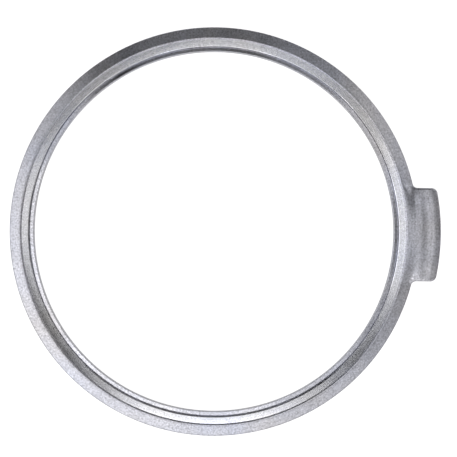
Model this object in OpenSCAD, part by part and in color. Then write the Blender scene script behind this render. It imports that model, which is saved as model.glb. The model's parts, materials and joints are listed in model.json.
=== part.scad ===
// Rim ring for the mouth of a stovetop pressure cooker: a cast collar with
// one ear, and a turned seat ring pressed into the channel in its top.
// Millimetres, +Z up. The origin is on the ring's axis, in its base plane.

/* [Collar] */
// Outside diameter of the round part, without the ear
collar_d = 240; // [220:1:270]
// Height from the base to the crest
collar_h = 12; // [11:0.5:16]
// Width of the bevel that falls outward from the crest
bevel_w = 6.4; // [5:0.1:7]
// Drop of the bevel from the crest to the outer edge
bevel_drop = 3; // [2:0.1:4]
// Diameter of the opening inside the lip
mouth_d = 211.2; // [190:0.1:212]
// Depth of the lip's straight wall, from the lip's top
lip_depth = 5.6; // [4:0.1:6]

/* [Rim socket] */
// Diameter of the socket under the lip, which takes the pot's rim
socket_d = 214.8; // [213:0.1:215]

/* [Seat ring] */
// Outside diameter of the seat ring and of its channel
seat_d = 225.4; // [225:0.1:227]
// Width of the seat ring
seat_w = 4.3; // [4:0.1:4.5]
// Height of the seat ring at its outer edge
seat_h = 3.6; // [3:0.1:4]
// Fall of the seat's face towards the axis
seat_fall = 0.2; // [0:0.1:1]

/* [Ear] */
// Distance from the axis to the ear's outer edge
ear_reach = 133; // [128:0.5:140]
// Width of the ear across its parallel sides
ear_w = 54.8; // [40:0.2:60]
// Height of the ear's underside above the base
ear_lift = 4; // [2:0.5:6]
// Radius of the ear's outer corners
ear_corner_r = 3.6; // [2:0.2:6]
// Radius of the fillets where the ear meets the collar
ear_root_r = 3; // [1:0.2:5]
// Depth of the shallow valley along the ear
valley_depth = 0.3; // [0.2:0.1:1.5]

/* [Hidden] */
$fn = 96;

collar_r = collar_d / 2;
mouth_r = mouth_d / 2;
socket_r = socket_d / 2;
seat_r = seat_d / 2;
crest_r = collar_r - bevel_w;
edge_break = 0.5;              // chamfer on the collar's outer edges
crest_break = 0.5;             // chamfer inside the crest
seat_chamfer = 0.5;            // chamfer on the seat ring's inner edge
seat_gap = 0.4;                // open groove between the seat ring and the lip
seat_drop = 0.9;               // outer edge of the seat below the crest
lip_drop = 1;                  // top of the lip below the crest
lip_slope_h = 0.9;             // fall of the lip's outward slope
lip_land = 0.6;                // width of the rounded top of the lip

seat_top = collar_h - seat_drop;
channel_floor = seat_top - seat_h;
seat_inner_r = seat_r - seat_w;
lip_root_r = seat_inner_r - seat_gap;
lip_top = collar_h - lip_drop;
lip_floor = lip_top - lip_depth;

valley_r = 125.2;              // distance from the axis to the valley's middle
valley_sweep_r = 14;           // radius of the valley's cross-section
ear_fall_r = 128.3;            // the ear's face starts to fall here
ear_fall = 0.4;                // fall of the ear's face beyond the valley
ear_edge = 1.2;                // chamfer along the ear's outer edge
ear_inner_r = crest_r;         // the ear's face starts at the crest
corner_y = ear_w / 2 - ear_corner_r;
corner_x = sqrt(pow(ear_reach - ear_corner_r, 2) - pow(corner_y, 2));
root_y = ear_w / 2 + ear_root_r;
root_x = sqrt(pow(collar_r + ear_root_r, 2) - pow(root_y, 2));
root_touch = collar_r / (collar_r + ear_root_r);

// Cross-section of the collar, as radius and height
module collar_section() {
    polygon([
        [socket_r, 0],
        [collar_r - edge_break, 0],
        [collar_r, edge_break],
        [collar_r, collar_h - bevel_drop - edge_break],
        [collar_r - edge_break, collar_h - bevel_drop],
        [crest_r, collar_h],
        [seat_r + crest_break, collar_h],
        [seat_r, collar_h - crest_break],
        [seat_r, channel_floor],
        [lip_root_r, channel_floor],
        [lip_root_r, lip_top - lip_slope_h],
        [mouth_r + lip_land, lip_top],
        [mouth_r + lip_land / 2, lip_top],
        [mouth_r, lip_top - lip_land / 2],
        [mouth_r, lip_floor],
        [socket_r, lip_floor],
    ]);
}

// Fillet between the collar's wall and one side of the ear
module root_fillet() {
    difference() {
        polygon([
            [root_x * root_touch, root_y * root_touch],
            [crest_r, corner_y],
            [root_x, ear_w / 2 - ear_root_r],
            [root_x, ear_w / 2],
        ]);
        translate([root_x, root_y]) circle(ear_root_r);
    }
}

// Outline of the ear from above
module ear_outline() {
    intersection() {
        circle(ear_reach);
        polygon([
            [0, 0],
            [2 * corner_x, -2 * corner_y],
            [2 * corner_x, 2 * corner_y],
        ]);
    }
    translate([0, -ear_w / 2]) square([corner_x, ear_w]);
    for (side = [-1, 1]) {
        translate([corner_x, side * corner_y]) circle(ear_corner_r);
        scale([1, side]) root_fillet();
    }
}

// Cross-section of the ear along the radius, as radius and height
module ear_section() {
    polygon([
        [ear_inner_r, ear_lift],
        [ear_reach, ear_lift],
        [ear_reach, collar_h - ear_fall - ear_edge],
        [ear_reach - ear_edge, collar_h - ear_fall],
        [ear_fall_r, collar_h],
        [ear_inner_r, collar_h],
    ]);
}

module ear() {
    difference() {
        intersection() {
            linear_extrude(collar_h) ear_outline();
            rotate_extrude() ear_section();
        }
        rotate_extrude()
            translate([valley_r, collar_h + valley_sweep_r - valley_depth])
                circle(valley_sweep_r);
    }
}

module collar() {
    color("silver") {
        rotate_extrude() collar_section();
        ear();
    }
}

module seat_ring() {
    color("gainsboro")
        rotate_extrude()
            polygon([
                [seat_inner_r, channel_floor],
                [seat_r, channel_floor],
                [seat_r, seat_top],
                [seat_inner_r + seat_chamfer, seat_top - seat_fall],
                [seat_inner_r, seat_top - seat_fall - seat_chamfer],
            ]);
}

collar();
seat_ring();
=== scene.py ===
"""Looks of the rim ring: a cast collar with one ear, and the turned seat ring in its channel.

Everything is in metres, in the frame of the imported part: the ring's axis is Z, its base is
at z = 0 and the ear points along +X.
"""

import json
import math

import bmesh
import bpy
import numpy as np
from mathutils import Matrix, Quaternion, Vector


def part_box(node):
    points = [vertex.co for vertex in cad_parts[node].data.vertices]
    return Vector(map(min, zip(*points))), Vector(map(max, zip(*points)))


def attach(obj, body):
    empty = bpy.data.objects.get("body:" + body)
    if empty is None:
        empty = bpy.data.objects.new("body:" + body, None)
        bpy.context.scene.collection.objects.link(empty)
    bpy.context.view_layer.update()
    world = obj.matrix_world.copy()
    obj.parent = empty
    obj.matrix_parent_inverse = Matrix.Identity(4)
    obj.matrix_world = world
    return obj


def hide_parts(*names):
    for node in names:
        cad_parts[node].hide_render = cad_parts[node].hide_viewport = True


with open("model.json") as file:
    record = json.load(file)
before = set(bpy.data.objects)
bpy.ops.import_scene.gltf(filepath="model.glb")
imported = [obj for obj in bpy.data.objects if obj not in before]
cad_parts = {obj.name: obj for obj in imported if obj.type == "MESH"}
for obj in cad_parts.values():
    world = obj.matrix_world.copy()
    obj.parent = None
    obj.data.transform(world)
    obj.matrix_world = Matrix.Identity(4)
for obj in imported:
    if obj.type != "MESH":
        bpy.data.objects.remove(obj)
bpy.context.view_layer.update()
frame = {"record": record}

MM = 0.001

# ---------------------------------------------------------------- sizes

collar_low, collar_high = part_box("collar")
seat_low, seat_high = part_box("seat_ring")
mount_radius = {
    m["name"]: m["dims"]["r_mm"] * MM for m in frame["record"]["mounts"] if "r_mm" in m["dims"]
}

COLLAR_R = -collar_low.x                # outer wall of the collar
COLLAR_H = collar_high.z                # crest
EAR_REACH = collar_high.x               # outer edge of the ear
SOCKET_R = mount_radius["rim_socket"]
MOUTH_R = mount_radius["mouth"]
SEAT_R = seat_high.x                    # outer wall of the seat ring
SEAT_TOP = seat_high.z
CHANNEL_FLOOR = seat_low.z

BEVEL_W = 6.4 * MM                      # bevel outside the crest
BEVEL_DROP = 3.0 * MM
CREST_STEP = 0.12 * MM                  # the bevel starts with a short steeper step
CREST_STEP_W = 0.8 * MM
CREST_BREAK = 0.5 * MM                  # width of the chamfer inside the crest
CREST_BREAK_DROP = 0.27 * MM
CREST_R = COLLAR_R - BEVEL_W
BEVEL_EDGE = 0.6 * MM                   # rounding between the bevel and the outer wall

SEAT_W = 4.3 * MM
SEAT_GAP = 0.4 * MM                     # open groove between the seat ring and the lip
SEAT_FALL = 0.2 * MM
SEAT_CHAMFER = 0.5 * MM                 # width of the chamfer on the seat's inner edge
SEAT_CHAMFER_DROP = 0.27 * MM
LIP_ROOT_R = SEAT_R - SEAT_W - SEAT_GAP
LIP_TOP = COLLAR_H - 1.0 * MM
LIP_SLOPE_H = 0.9 * MM
LIP_LAND = 0.3 * MM                     # width of the rounded top of the lip
LIP_EDGE = 0.2 * MM                     # rounding between the lip's top and its slope
LIP_FLOOR = LIP_TOP - 5.6 * MM

EAR_HALF_W = 27.4 * MM
EAR_CORNER_R = 3.6 * MM
EAR_ROOT_R = 3.0 * MM
EAR_EDGE = 1.2 * MM                     # rounding round the top of the ear
EAR_LIFT = 4.0 * MM                     # underside of the ear above the base
EAR_UNDER_EDGE = 1.0 * MM               # rounding round the bottom of the ear
EAR_FALL = 0.4 * MM                     # fall of the face from the valley to the outer edge
EAR_INNER_W = 8.0 * MM                  # width over which the inner face fades into the outer one
EAR_CROWN = 1.5 * MM                    # fall of the inner face from its middle to its ends
EAR_SHOULDER_W = 6.0 * MM               # the last stretch at each end falls a little more
EAR_SHOULDER = 0.5 * MM
EAR_OUTER_SHARE = 0.3                   # how much of those two the outer part of the face has
VALLEY_R = 125.2 * MM
VALLEY_HALF_W = 4.0 * MM
VALLEY_DEPTH = 0.3 * MM
EAR_SIDE_IN = 1.0 * MM                  # inside the ear's sides, where its face meets the bevel
EAR_SIDE_OUT = 2.4 * MM                 # outside them, where it has become all bevel
WALL_BLEND_W = 2.2 * MM                 # past the round wall, where it has become all ear


# ---------------------------------------------------------------- mesh density

# points on each stretch of one half of the collar's outline
EDGE_POINTS = 44
CORNER_POINTS = 14
SIDE_POINTS = 16
ROOT_POINTS = 14
WALL_POINTS = 230
# loops across the collar's top face, and steps in its rounded edges
FACE_LOOPS = 26
TOP_EDGE_STEPS = 8
UNDER_EDGE_STEPS = 5


# ---------------------------------------------------------------- mesh helpers

def smooth(low, high, x):
    """0 below low, 1 above high, and a smooth rise between them."""
    t = np.clip((x - low) / (high - low), 0, 1)
    return t * t * (3 - 2 * t)


def mix(a, b, t):
    return a + (b - a) * t


def arc(centre, radius, start, end, count):
    """count points on an arc, its end left out, with the unit vectors from its centre."""
    angle = np.radians(start + (end - start) * np.arange(count) / count)
    out = np.stack([np.cos(angle), np.sin(angle)], 1)
    return np.array(centre) + radius * out, out


def rounded(corners, steps=5):
    """A polyline of (radius, height, rounding) corners, with each corner rounded."""
    points = [np.array(corners[0][:2])]
    for before, corner, after in zip(corners, corners[1:], corners[2:]):
        here = np.array(corner[:2])
        back = np.array(before[:2]) - here
        on = np.array(after[:2]) - here
        back /= np.linalg.norm(back)
        on /= np.linalg.norm(on)
        if corner[2] == 0:
            points.append(here)
            continue
        half = math.acos(np.clip(back @ on, -1, 1)) / 2
        reach = corner[2] / math.tan(half)
        for k in range(steps + 1):
            t = k / steps
            along = (1 - t) ** 2 * back * reach + t ** 2 * on * reach
            points.append(here + along)
    points.append(np.array(corners[-1][:2]))
    return points


def mesh_from_loops(name, loops, material):
    """A closed ring of quads: each loop joins the next, and the last joins the first."""
    count = len(loops[0])
    verts = np.concatenate(loops)
    total = len(loops)
    faces = []
    for i in range(total):
        a, b = i * count, (i + 1) % total * count
        for j in range(count):
            k = (j + 1) % count
            faces.append((a + j, a + k, b + k, b + j))
    mesh = bpy.data.meshes.new(name)
    mesh.from_pydata(verts.tolist(), [], faces)
    bm = bmesh.new()
    bm.from_mesh(mesh)
    bmesh.ops.recalc_face_normals(bm, faces=bm.faces)
    bm.to_mesh(mesh)
    bm.free()
    mesh.shade_smooth()
    mesh.materials.append(material)
    obj = bpy.data.objects.new(name, mesh)
    bpy.context.scene.collection.objects.link(obj)
    return obj


# ---------------------------------------------------------------- collar

def ear_outline():
    """The collar's outline from above, anticlockwise from the middle of the ear.

    Returns the points, their outward normals, and how far each one belongs to the ear,
    from 1 on its edges to 0 on the round wall.
    """
    corner_y = EAR_HALF_W - EAR_CORNER_R
    corner_x = math.sqrt((EAR_REACH - EAR_CORNER_R) ** 2 - corner_y ** 2)
    root_y = EAR_HALF_W + EAR_ROOT_R
    root_x = math.sqrt((COLLAR_R + EAR_ROOT_R) ** 2 - root_y ** 2)
    corner_angle = math.degrees(math.atan2(corner_y, corner_x))
    root_angle = math.degrees(math.atan2(root_y, root_x))

    edge, edge_out = arc((0, 0), EAR_REACH, 0, corner_angle, EDGE_POINTS)
    corner_middle = (corner_x, corner_y)
    corner, corner_out = arc(corner_middle, EAR_CORNER_R, corner_angle, 90, CORNER_POINTS)
    side_x = np.linspace(corner_x, root_x, SIDE_POINTS, endpoint=False)
    side = np.stack([side_x, np.full(SIDE_POINTS, EAR_HALF_W)], 1)
    side_out = np.tile([0.0, 1.0], (SIDE_POINTS, 1))
    root_middle = (root_x, root_y)
    root, root_in = arc(root_middle, EAR_ROOT_R, 270, 180 + root_angle, ROOT_POINTS)
    # the round wall, with its points closer together near the ear
    t = np.arange(WALL_POINTS) / WALL_POINTS
    wall_angle = np.radians(root_angle + (180 - root_angle) * (0.35 * t + 0.65 * t ** 2))
    wall_out = np.stack([np.cos(wall_angle), np.sin(wall_angle)], 1)
    wall = COLLAR_R * wall_out

    points = np.concatenate([edge, corner, side, root, wall])
    out = np.concatenate([edge_out, corner_out, side_out, -root_in, wall_out])
    on_ear = np.ones(EDGE_POINTS + CORNER_POINTS + SIDE_POINTS)
    on_root = 1 - smooth(0, ROOT_POINTS, np.arange(ROOT_POINTS))
    belongs = np.concatenate([on_ear, on_root, np.zeros(WALL_POINTS)])
    flip = np.array([1, -1])
    back = slice(None, 0, -1)
    end = np.array([[-COLLAR_R, 0]])
    end_out = np.array([[-1.0, 0.0]])
    return (
        np.concatenate([points, end, points[back] * flip]),
        np.concatenate([out, end_out, out[back] * flip]),
        np.concatenate([belongs, [0], belongs[back]]),
    )


def top_height(x, y):
    """Height of the collar's top face outside the crest, on the bevel and on the ear."""
    r = np.hypot(x, y)
    beyond = np.maximum(r - CREST_R, 0)
    bevel = COLLAR_H - beyond * (BEVEL_DROP - CREST_STEP) / BEVEL_W
    bevel = bevel - CREST_STEP * smooth(0, CREST_STEP_W, beyond)
    across = np.clip((r - VALLEY_R) / VALLEY_HALF_W, -1, 1)
    valley = VALLEY_DEPTH * (1 - across ** 2) ** 2
    outer = smooth(VALLEY_R + VALLEY_HALF_W / 2, EAR_REACH, r)
    inner = 1 - smooth(VALLEY_R - EAR_INNER_W, VALLEY_R, r)
    away = np.abs(y)
    shoulder = np.maximum(away - EAR_HALF_W + EAR_SHOULDER_W, 0) / EAR_SHOULDER_W
    dip = EAR_CROWN * (away / EAR_HALF_W) ** 2 + EAR_SHOULDER * shoulder ** 2
    dip = dip * mix(EAR_OUTER_SHARE, 1, inner) * smooth(0, BEVEL_W, beyond)
    face = COLLAR_H - valley - EAR_FALL * outer ** 2 - dip
    on_ear = 1 - smooth(EAR_HALF_W - EAR_SIDE_IN, EAR_HALF_W + EAR_SIDE_OUT, away)
    past_wall = smooth(COLLAR_R, COLLAR_R + WALL_BLEND_W, r)
    on_ear = np.where(x > 0, 1 - (1 - on_ear) * (1 - past_wall), 0)
    return mix(bevel, face, on_ear)


def with_height(plan, z):
    """Points in plan with a height added: one for all of them, or one each."""
    return np.column_stack([plan, np.broadcast_to(z, len(plan))])


def collar_loops():
    """The collar's skin as closed loops, from the crest outward and round the section."""
    outline, out, belongs = ear_outline()
    azimuth = np.arctan2(outline[:, 1], outline[:, 0])
    ray = np.stack([np.cos(azimuth), np.sin(azimuth)], 1)
    edge_r = mix(BEVEL_EDGE, EAR_EDGE, belongs)
    loops = []

    # top face, from the crest to where the edge rounding starts
    inset = outline - out * edge_r[:, None]
    crest = ray * CREST_R
    for t in np.linspace(0, 1, FACE_LOOPS):
        plan = mix(crest, inset, t)
        loops.append(with_height(plan, top_height(*plan.T)))

    # rounding of the top edge, then the wall below it
    for angle in np.radians(np.linspace(0, 90, TOP_EDGE_STEPS + 1)[1:]):
        plan = outline - out * (edge_r * (1 - np.sin(angle)))[:, None]
        z = top_height(*plan.T) - edge_r * (1 - np.cos(angle))
        loops.append(with_height(plan, z))
    wall_top = loops[-1][:, 2]
    wall_low = EAR_LIFT + EAR_UNDER_EDGE + 0.4 * MM     # a little above the lower rounding
    for t in (0.33, 0.66, 1.0):
        loops.append(with_height(outline, mix(wall_top, wall_low, t)))

    # lower edge and underside of the ear; on the round wall these run straight down
    wall_drop = 0.7 * MM
    wall_last = EAR_LIFT + 0.2 * MM
    steps = UNDER_EDGE_STEPS
    for k in range(1, steps + 1):
        angle = math.radians(90 * k / steps)
        inward = EAR_UNDER_EDGE * (1 - math.cos(angle))
        plan = outline - out * (inward * belongs)[:, None]
        z_ear = EAR_LIFT + EAR_UNDER_EDGE * (1 - math.sin(angle))
        z_wall = wall_low - wall_drop * k / steps
        loops.append(with_height(plan, mix(z_wall, z_ear, belongs)))
    under = loops[-1]
    under_r = mix(COLLAR_R, COLLAR_R + EAR_UNDER_EDGE, belongs)
    last = np.column_stack([ray * under_r[:, None], mix(wall_last, EAR_LIFT, belongs)])
    for t in (0.25, 0.5, 0.75, 1.0):
        loops.append(mix(under, last, t))
    for k in range(1, steps + 1):
        angle = math.radians(90 * k / steps)
        r = COLLAR_R + EAR_UNDER_EDGE * (1 - math.sin(angle)) * belongs
        z = EAR_LIFT - EAR_UNDER_EDGE * (1 - math.cos(angle))
        z_wall = EAR_LIFT - EAR_UNDER_EDGE * k / steps
        loops.append(np.column_stack([ray * r[:, None], mix(z_wall, z, belongs)]))

    # the rest of the section is round: wall, base, socket, lip, channel and crest, up to
    # just short of the first loop
    crest_gap = 0.08 * MM
    section = rounded([
        (COLLAR_R, EAR_LIFT - 2 * EAR_UNDER_EDGE, 0),
        (COLLAR_R, 0, 0.5 * MM),
        (SOCKET_R, 0, 0.3 * MM),
        (SOCKET_R, LIP_FLOOR, 0.4 * MM),
        (MOUTH_R, LIP_FLOOR, 0.2 * MM),
        (MOUTH_R, LIP_TOP, LIP_LAND / 2),
        (MOUTH_R + LIP_LAND, LIP_TOP, LIP_EDGE),
        (LIP_ROOT_R, LIP_TOP - LIP_SLOPE_H, 0.12 * MM),
        (LIP_ROOT_R, CHANNEL_FLOOR, 0.1 * MM),
        (SEAT_R, CHANNEL_FLOOR, 0.1 * MM),
        (SEAT_R, COLLAR_H - CREST_BREAK_DROP, 0.1 * MM),
        (SEAT_R + CREST_BREAK, COLLAR_H, 0.1 * MM),
        (CREST_R - crest_gap, COLLAR_H, 0),
    ])
    for r, z in section:
        loops.append(with_height(ray * r, z))
    return loops


# ---------------------------------------------------------------- seat ring

def seat_loops(count=720):
    """The seat ring, a hair smaller than the channel so that the two faces don't coincide.

    Its section starts and ends low on the outer wall.
    """
    shrink = 0.02 * MM
    start = CHANNEL_FLOOR + 1 * MM
    end = CHANNEL_FLOOR + 0.8 * MM
    outer = SEAT_R - shrink
    inner = SEAT_R - SEAT_W
    inner_top = SEAT_TOP - SEAT_FALL
    section = rounded([
        (outer, start, 0),
        (outer, SEAT_TOP, 0.12 * MM),
        (inner + SEAT_CHAMFER, inner_top, 0.1 * MM),
        (inner, inner_top - SEAT_CHAMFER_DROP, 0.1 * MM),
        (inner, CHANNEL_FLOOR + shrink, 0.1 * MM),
        (outer, CHANNEL_FLOOR + shrink, 0.1 * MM),
        (outer, end, 0),
    ])
    angle = np.linspace(0, 2 * math.pi, count, endpoint=False)
    ray = np.stack([np.cos(angle), np.sin(angle)], 1)
    return [with_height(ray * r, z) for r, z in section]


# ---------------------------------------------------------------- materials

class Nodes:
    """A material's node tree, with a short way to add and join nodes."""

    def __init__(self, name):
        self.material = bpy.data.materials.new(name)
        self.material.use_nodes = True
        self.tree = self.material.node_tree
        self.shader = self.tree.nodes["Principled BSDF"]

    def add(self, kind, inputs=None, **settings):
        node = self.tree.nodes.new("ShaderNode" + kind)
        for key, value in settings.items():
            setattr(node, key, value)
        for key, value in (inputs or {}).items():
            if isinstance(value, bpy.types.NodeSocket):
                self.tree.links.new(value, node.inputs[key])
            else:
                node.inputs[key].default_value = value
        return node

    def math(self, operation, *values):
        return self.add("Math", dict(enumerate(values)), operation=operation).outputs[0]

    def ramp(self, value, low, high, to_low, to_high):
        inputs = {"Value": value, "From Min": low, "From Max": high,
                  "To Min": to_low, "To Max": to_high}
        return self.add("MapRange", inputs, clamp=False).outputs["Result"]

    def link(self, value, socket):
        self.tree.links.new(value, self.shader.inputs[socket])

    def place(self):
        """The point in the part's frame, and its distance and angle from the ring's axis."""
        point = self.add("TexCoord").outputs["Object"]
        parts = self.add("SeparateXYZ", {"Vector": point})
        x, y = parts.outputs["X"], parts.outputs["Y"]
        radius = self.math("SQRT", self.math("ADD", self.math("MULTIPLY", x, x),
                                             self.math("MULTIPLY", y, y)))
        return point, radius, self.math("ARCTAN2", y, x)

    def noise(self, vector, scale, detail):
        settings = {"Vector": vector, "Scale": scale, "Detail": detail}
        return self.add("TexNoise", settings).outputs["Fac"]

    def grey(self, point, level, shades, blue):
        """Base colour: level plus each (noise, swing), with a faint drift of hue.

        blue is the colour's blue over its green; a little above 1 is a cool grey.
        """
        for noise, swing in shades:
            level = self.math("ADD", level, self.ramp(noise, 0.3, 0.7, -swing, swing))
        hue = self.noise(point, 30.0, 2.0)
        red_share = self.ramp(hue, 0.35, 0.65, 1.015, 0.985)
        blue_share = self.ramp(hue, 0.35, 0.65, blue - 0.03, blue + 0.04)
        colour = self.add("CombineColor", {
            "Red": self.math("MULTIPLY", level, red_share),
            "Green": level,
            "Blue": self.math("MULTIPLY", level, blue_share),
        })
        self.link(colour.outputs[0], "Base Color")


def cast_metal():
    """Dull aluminium skin: fine grain, brush marks and faint cloudiness; the lip is smoother."""
    n = Nodes("cast_metal")
    point, radius, angle = n.place()
    cloud = n.noise(point, 90.0, 4.0)
    grain = n.noise(point, 1000.0, 6.0)
    # marks that are drawn out along the arc on the ear, and not on the ring
    on_ear = n.math("GREATER_THAN", radius, COLLAR_R)
    along = n.math("MULTIPLY", angle, n.ramp(on_ear, 0.0, 1.0, COLLAR_R, 0.2 * COLLAR_R))
    marks = n.noise(n.add("CombineXYZ", {"X": along, "Y": radius}).outputs[0], 900.0, 2.0)
    skin = n.math("GREATER_THAN", radius, SEAT_R - SEAT_W / 2)     # 0 on the machined lip
    n.grey(point, 0.63, ((cloud, 0.05), (grain, 0.18), (marks, 0.08)), 1.08)
    rough = n.math("ADD", n.ramp(cloud, 0.3, 0.7, -0.04, 0.04), n.ramp(skin, 0.0, 1.0, 0.24, 0.35))
    n.link(rough, "Roughness")
    bump = n.add("Bump", {"Height": grain, "Strength": 0.3, "Distance": 0.00015})
    n.link(bump.outputs["Normal"], "Normal")
    n.shader.inputs["Metallic"].default_value = 1.0
    return n.material


def turned_metal():
    """Bright turned face: fine circular tool marks that stretch each highlight outward."""
    n = Nodes("turned_metal")
    point, radius, _ = n.place()
    turns = n.noise(n.add("CombineXYZ", {"X": radius}).outputs[0], 1100.0, 2.0)
    cloud = n.noise(point, 120.0, 3.0)
    grain = n.noise(point, 750.0, 6.0)
    n.grey(point, 0.88, ((turns, 0.08), (grain, 0.10)), 1.05)
    n.link(n.ramp(cloud, 0.3, 0.7, 0.19, 0.22), "Roughness")
    tangent = n.add("Tangent", direction_type="RADIAL", axis="Z").outputs["Tangent"]
    n.link(tangent, "Tangent")
    n.shader.inputs["Metallic"].default_value = 1.0
    n.shader.inputs["Anisotropic"].default_value = 0.95
    n.shader.inputs["Anisotropic Rotation"].default_value = 0.25
    return n.material


def floor_paper():
    """White light table: white right up to the ring, but dimmer in the ring's own reflections."""
    n = Nodes("floor_paper")
    n.shader.inputs["Base Color"].default_value = (0.4, 0.4, 0.4, 1)
    n.shader.inputs["Roughness"].default_value = 0.9
    n.shader.inputs["Specular IOR Level"].default_value = 0.0
    n.shader.inputs["Emission Color"].default_value = (1, 1, 1, 1)
    seen = n.add("LightPath").outputs["Is Camera Ray"]
    n.link(n.ramp(seen, 0.0, 1.0, 0.4, 1.0), "Emission Strength")
    return n.material


# ---------------------------------------------------------------- pieces

collar = mesh_from_loops("cast_collar", collar_loops(), cast_metal())
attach(collar, "root")
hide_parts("collar")

seat = mesh_from_loops("turned_seat", seat_loops(), turned_metal())
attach(seat, "root")
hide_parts("seat_ring")


# ---------------------------------------------------------------- stage

def make_floor():
    mesh = bpy.data.meshes.new("floor")
    half = 3.0                              # half of the floor's width
    corners = [(-half, -half, 0), (half, -half, 0), (half, half, 0), (-half, half, 0)]
    mesh.from_pydata(corners, [], [(0, 1, 2, 3)])
    mesh.materials.append(floor_paper())
    floor = bpy.data.objects.new("floor", mesh)
    bpy.context.scene.collection.objects.link(floor)


LIGHT_DISTANCE = 1.5                    # from the frame's origin to each card
LOW = {"zenith": 62, "width": 28, "depth": 30}      # what the low cards share


def card(name, azimuth, zenith, width, depth, strength):
    """A soft card of even brightness that faces the ring.

    azimuth is measured from +X towards +Y and zenith from straight up. width and depth
    are the angles that the card fills, across and up, and strength is its brightness.
    """
    light = bpy.data.lights.new(name, "AREA")
    light.shape = "RECTANGLE"
    light.size = 2 * LIGHT_DISTANCE * math.tan(math.radians(width / 2))
    light.size_y = 2 * LIGHT_DISTANCE * math.tan(math.radians(depth / 2))
    area = light.size * light.size_y
    light.energy = strength * area * math.pi
    obj = bpy.data.objects.new(name, light)
    a, z = math.radians(azimuth), math.radians(zenith)
    towards = Vector((math.sin(z) * math.cos(a), math.sin(z) * math.sin(a), math.cos(z)))
    obj.location = towards * LIGHT_DISTANCE
    obj.rotation_euler = towards.to_track_quat("Z", "Y").to_euler()
    bpy.context.scene.collection.objects.link(obj)


def make_lights():
    world = bpy.data.worlds.new("studio")
    world.use_nodes = True
    world.node_tree.nodes["Background"].inputs["Color"].default_value = (1, 1, 1, 1)
    world.node_tree.nodes["Background"].inputs["Strength"].default_value = 1.0
    # white behind the floor's edge in a low view, but no light on the ring
    world.cycles_visibility.diffuse = False
    world.cycles_visibility.glossy = False
    bpy.context.scene.world = world
    # low cards round the near side, brightest at the lower left, and a few on the far side
    for azimuth in range(150, 331, 30):
        glow = 0.6 + 0.8 * math.cos(math.radians(azimuth - 230))
        card(f"low_{azimuth}", azimuth, strength=glow, **LOW)
    card("low_ear", 0, strength=0.25, **LOW)
    card("low_right", 30, strength=0.75, **LOW)
    card("low_far_right", 60, strength=0.3, **LOW)
    card("low_far", 100, strength=0.2, **LOW)
    # high cards, which the turned seat stretches into fans, then wider ones below them
    card("near_bar", 265, 12, 10.5, 13, 1.7)
    card("right_bar", 7, 12, 12, 13, 1.5)
    card("left_bar", 173, 12, 8, 13, 1.15)
    card("far_bar", 76, 12, 12, 13, 0.75)
    card("far_left_bar", 128, 12, 8, 13, 0.45)
    card("top", 0, 0, 10, 10, 0.15)
    card("right", 5, 28, 26, 20, 0.15)
    card("near", 272, 26, 30, 20, 1.5)
    card("near_right", 322, 38, 30, 22, 0.55)
    card("left", 180, 40, 22, 20, 1.3)
    card("far", 98, 40, 30, 20, 0.05)


CAMERA_H = 760 * MM
FRAME_SHARE = 0.8950                    # the collar's diameter over the picture's width
AIM = Vector((8.54, 1.76)) * MM         # the middle of the picture, from the ring's axis
ROLL = math.radians(0.87)


def make_camera():
    edge_height = COLLAR_H - BEVEL_DROP
    place = Vector((*AIM, CAMERA_H))
    place.rotate(Quaternion((0, 0, 1), ROLL))
    data = bpy.data.cameras.new("camera")
    data.lens = data.sensor_width * (CAMERA_H - edge_height) * FRAME_SHARE / (2 * COLLAR_R)
    camera = bpy.data.objects.new("camera", data)
    camera.location = place
    camera.rotation_euler = (0, 0, ROLL)
    bpy.context.scene.collection.objects.link(camera)
    bpy.context.scene.camera = camera


make_floor()
make_lights()
make_camera()
bpy.context.scene.view_settings.view_transform = "Standard"
